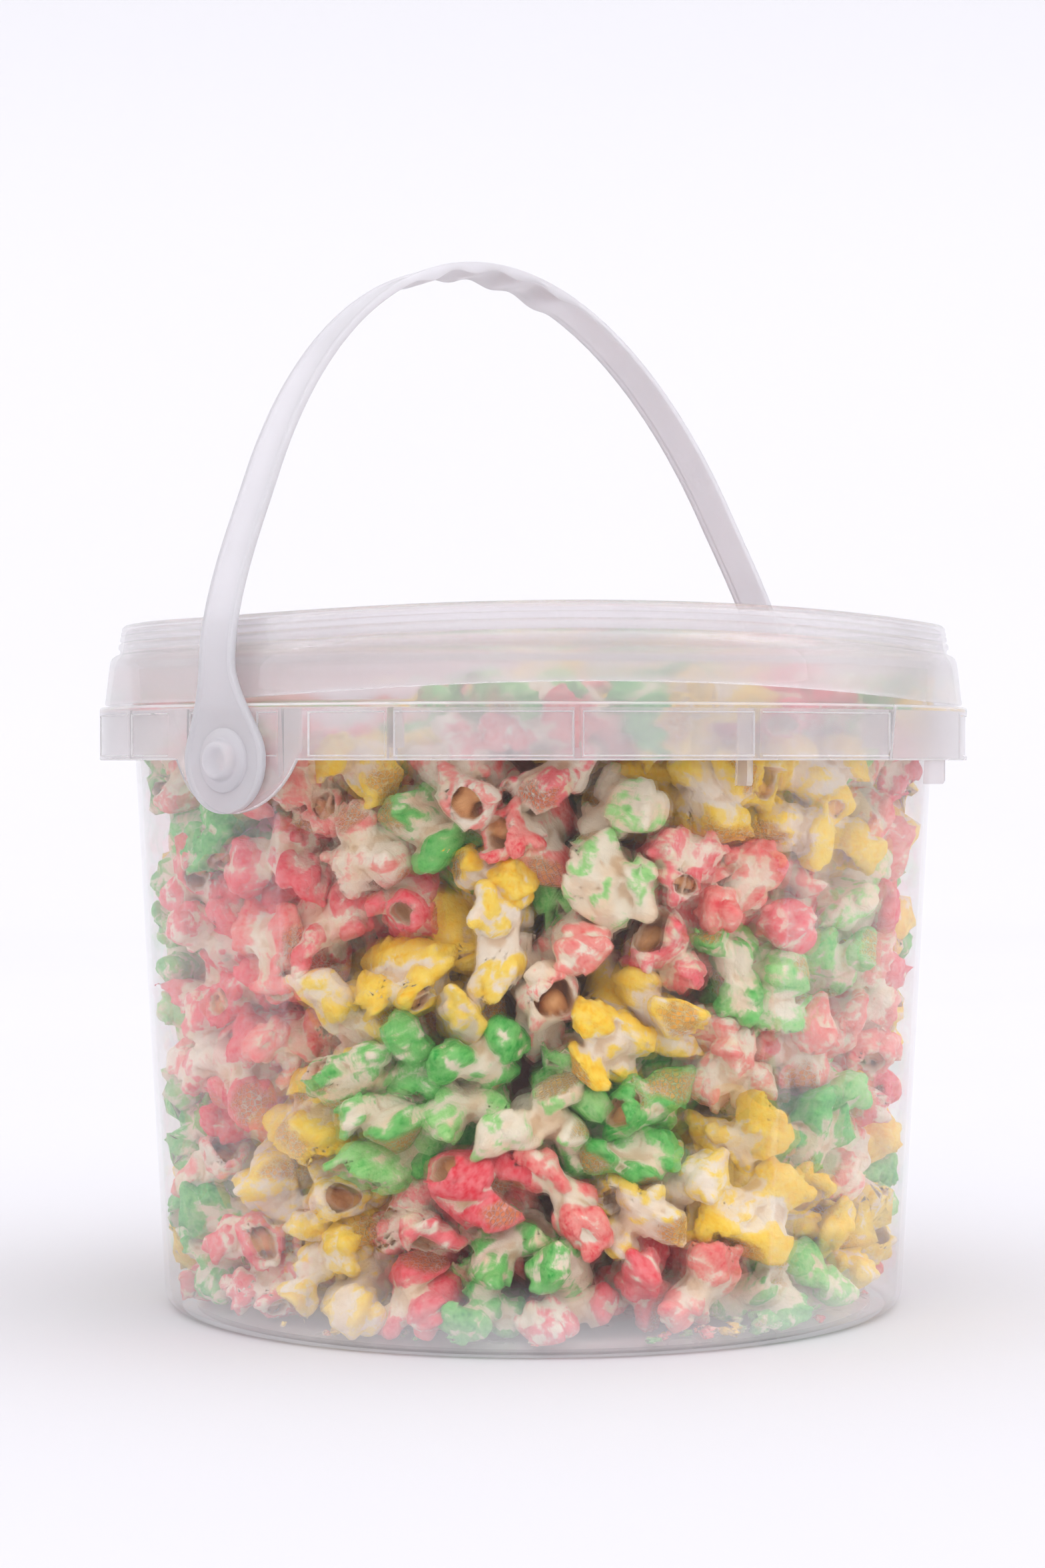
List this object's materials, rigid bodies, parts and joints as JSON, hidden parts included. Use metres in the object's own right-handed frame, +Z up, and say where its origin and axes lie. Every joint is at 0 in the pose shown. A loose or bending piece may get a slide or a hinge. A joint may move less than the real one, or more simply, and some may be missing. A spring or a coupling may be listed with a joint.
{
  "type": "bucket of popcorn",
  "caption": "Clear round plastic tub of coloured popcorn with a press-on lid, a ribbed collar and a bail handle that swings on two side pivots.",
  "frame": {"origin": "middle of the tub's base, on the surface that it stands on", "axes": "+Z up along the tub's axis; the handle's pivots lie on a line along X; the handle leans a little towards +Y at rest"},
  "size_m": [0.2094, 0.2, 0.2415],
  "materials": {
    "clear_plastic": "clear moulded plastic, slightly hazy",
    "frosted_plastic": "frosted moulded plastic",
    "milky_plastic": "milky translucent moulded plastic",
    "popcorn": "dry popped corn with patches of pink, green and yellow coating"
  },
  "bodies": {
    "bucket": {"tub": "clear_plastic", "lid": "frosted_plastic", "popcorn": "popcorn"},
    "handle": {"handle": "milky_plastic"}
  },
  "joints": [
    {"name": "handle_swing", "type": "hinge", "parent": "bucket", "child": "handle", "pos_m": [0, 0, 0.125], "axis": [1, 0, 0], "range_deg": [-117, 132]}
  ]
}
